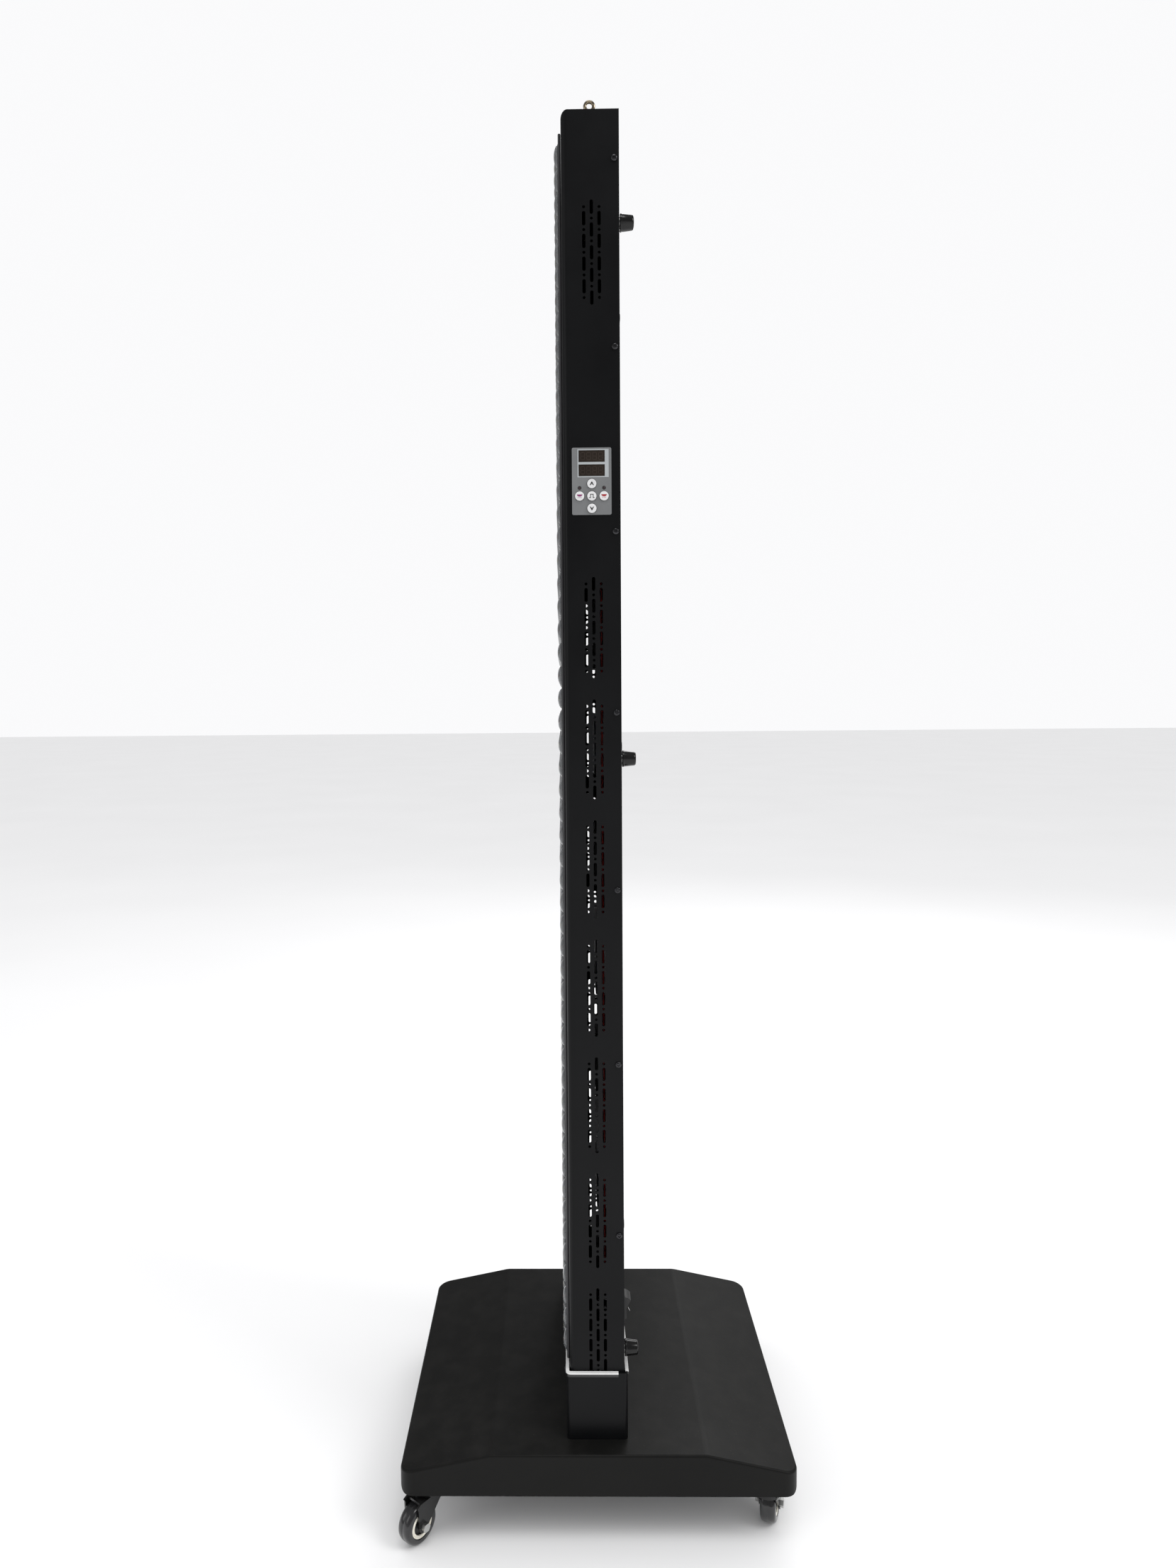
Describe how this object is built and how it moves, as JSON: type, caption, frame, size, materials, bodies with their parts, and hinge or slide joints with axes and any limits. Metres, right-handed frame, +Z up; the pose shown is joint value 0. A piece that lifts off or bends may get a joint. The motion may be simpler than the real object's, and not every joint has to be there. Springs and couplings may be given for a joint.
{
  "type": "full-body light panel on a rolling floor stand",
  "caption": "Tall slim LED light panel with domed lenses, side vents and control keys, standing in a socket on a wheeled sloping floor base.",
  "frame": {"origin": "on the floor under the middle of the base", "axes": "+Z up, -Y the way the lenses face, +X the side with the control keys"},
  "size_m": [0.4626, 0.503, 1.777],
  "materials": {
    "black_steel": "semi-gloss",
    "lens_clear": "gloss",
    "aluminium": "satin",
    "board_white": "satin",
    "board_green": "satin",
    "zinc_steel": "satin",
    "black_screws": "satin",
    "rubber_black": "gloss",
    "foam": "matt",
    "fan_plastic": "matt",
    "driver_case": "satin",
    "trim_bright": "gloss",
    "control_grey": "satin",
    "display_glass": "gloss",
    "button_white": "satin",
    "led_dark": "gloss",
    "inlet_black": "satin",
    "nickel": "polished",
    "chrome": "polished",
    "tyre": "satin",
    "wire_red": "satin",
    "wire_grey": "satin"
  },
  "bodies": {
    "stand": {"base_rails": "black_steel", "base_shell": "black_steel", "board_standoffs": "zinc_steel", "caster_seats": "zinc_steel", "clamp_screws": "black_screws", "control_board": "board_green", "control_plate": "control_grey", "cover_screws": "black_screws", "display_windows": "display_glass", "eye_bolts": "nickel", "eye_nuts": "zinc_steel", "fan_frames": "fan_plastic", "fan_gaskets": "foam", "fan_screws": "zinc_steel", "fan_wires": "wire_red", "feet_screws": "zinc_steel", "front_edge_trim": "trim_bright", "front_shell": "black_steel", "heat_spreader": "aluminium", "indicator_leds": "led_dark", "led_boards": "board_white", "led_drivers": "driver_case", "lens_sheet": "lens_clear", "power_inlet": "inlet_black", "rear_cover": "black_steel", "rear_edge_trim": "trim_bright", "rear_feet": "rubber_black", "socket_bolts": "zinc_steel", "socket_box": "black_steel", "supply_wires": "wire_grey", "switch_housing": "inlet_black"},
    "caster_1": {"caster_fork_1": "black_steel", "caster_axle_1": "zinc_steel"},
    "wheel_1": {"caster_tyre_1": "tyre", "caster_hub_1": "chrome"},
    "caster_2": {"caster_fork_2": "black_steel", "caster_axle_2": "zinc_steel"},
    "wheel_2": {"caster_tyre_2": "tyre", "caster_hub_2": "chrome"},
    "brake_2": {"brake_pedal_2": "inlet_black"},
    "caster_3": {"caster_fork_3": "black_steel", "caster_axle_3": "zinc_steel"},
    "wheel_3": {"caster_tyre_3": "tyre", "caster_hub_3": "chrome"},
    "caster_4": {"caster_fork_4": "black_steel", "caster_axle_4": "zinc_steel"},
    "wheel_4": {"caster_tyre_4": "tyre", "caster_hub_4": "chrome"},
    "brake_4": {"brake_pedal_4": "inlet_black"},
    "rotor_1": {"fan_rotor_1": "fan_plastic"},
    "rotor_2": {"fan_rotor_2": "fan_plastic"},
    "rotor_3": {"fan_rotor_3": "fan_plastic"},
    "rotor_4": {"fan_rotor_4": "fan_plastic"},
    "up_button": {"button_up": "button_white"},
    "down_button": {"button_down": "button_white"},
    "pulse_button": {"button_pulse": "button_white"},
    "near_red_button": {"button_near_red": "button_white"},
    "red_button": {"button_red": "button_white"},
    "rocker": {"switch_rocker": "inlet_black"}
  },
  "joints": [
    {"name": "caster_1_swivel", "type": "hinge", "parent": "stand", "child": "caster_1", "pos_m": [0.19, -0.215, 0.06], "axis": [0, 0, 1], "continuous": true},
    {"name": "wheel_1_roll", "type": "hinge", "parent": "caster_1", "child": "wheel_1", "pos_m": [0.20693, -0.22905, 0.025], "axis": [0.6388, 0.7694, 0], "continuous": true},
    {"name": "caster_2_swivel", "type": "hinge", "parent": "stand", "child": "caster_2", "pos_m": [0.19, 0.215, 0.06], "axis": [0, 0, 1], "continuous": true},
    {"name": "wheel_2_roll", "type": "hinge", "parent": "caster_2", "child": "wheel_2", "pos_m": [0.16931, 0.22249, 0.025], "axis": [-0.3404, -0.9403, 0], "continuous": true},
    {"name": "brake_2_press", "type": "hinge", "parent": "caster_2", "child": "brake_2", "pos_m": [0.16179, 0.22521, 0.052], "axis": [-0.3404, -0.9403, 0], "range_deg": [0, 12]},
    {"name": "caster_3_swivel", "type": "hinge", "parent": "stand", "child": "caster_3", "pos_m": [-0.19, 0.215, 0.06], "axis": [0, 0, 1], "continuous": true},
    {"name": "wheel_3_roll", "type": "hinge", "parent": "caster_3", "child": "wheel_3", "pos_m": [-0.20693, 0.22905, 0.025], "axis": [-0.6388, -0.7694, 0], "continuous": true},
    {"name": "caster_4_swivel", "type": "hinge", "parent": "stand", "child": "caster_4", "pos_m": [-0.19, -0.215, 0.06], "axis": [0, 0, 1], "continuous": true},
    {"name": "wheel_4_roll", "type": "hinge", "parent": "caster_4", "child": "wheel_4", "pos_m": [-0.16931, -0.22249, 0.025], "axis": [0.3404, 0.9403, 0], "continuous": true},
    {"name": "brake_4_press", "type": "hinge", "parent": "caster_4", "child": "brake_4", "pos_m": [-0.16179, -0.22521, 0.052], "axis": [0.3404, 0.9403, 0], "range_deg": [0, 12]},
    {"name": "fan_1_spin", "type": "hinge", "parent": "stand", "child": "rotor_1", "pos_m": [0, 0.01675, 1.146], "axis": [0, 1, 0], "continuous": true},
    {"name": "fan_2_spin", "type": "hinge", "parent": "stand", "child": "rotor_2", "pos_m": [0, 0.01675, 0.848], "axis": [0, 1, 0], "continuous": true},
    {"name": "fan_3_spin", "type": "hinge", "parent": "stand", "child": "rotor_3", "pos_m": [0, 0.01675, 0.55], "axis": [0, 1, 0], "continuous": true},
    {"name": "fan_4_spin", "type": "hinge", "parent": "stand", "child": "rotor_4", "pos_m": [0, 0.01675, 0.252], "axis": [0, 1, 0], "continuous": true},
    {"name": "up_press", "type": "slide", "parent": "stand", "child": "up_button", "axis": [-1, 0, 0], "range_m": [0, 0.0008], "stiffness_N_per_m": 1200, "springref_m": -0.0004},
    {"name": "down_press", "type": "slide", "parent": "stand", "child": "down_button", "axis": [-1, 0, 0], "range_m": [0, 0.0008], "stiffness_N_per_m": 1200, "springref_m": -0.0004},
    {"name": "pulse_press", "type": "slide", "parent": "stand", "child": "pulse_button", "axis": [-1, 0, 0], "range_m": [0, 0.0008], "stiffness_N_per_m": 1200, "springref_m": -0.0004},
    {"name": "near_red_press", "type": "slide", "parent": "stand", "child": "near_red_button", "axis": [-1, 0, 0], "range_m": [0, 0.0008], "stiffness_N_per_m": 1200, "springref_m": -0.0004},
    {"name": "red_press", "type": "slide", "parent": "stand", "child": "red_button", "axis": [-1, 0, 0], "range_m": [0, 0.0008], "stiffness_N_per_m": 1200, "springref_m": -0.0004},
    {"name": "rocker_switch", "type": "hinge", "parent": "stand", "child": "rocker", "pos_m": [0.15, 0.03375, 0.274], "axis": [1, 0, 0], "range_deg": [0, 24]}
  ]
}
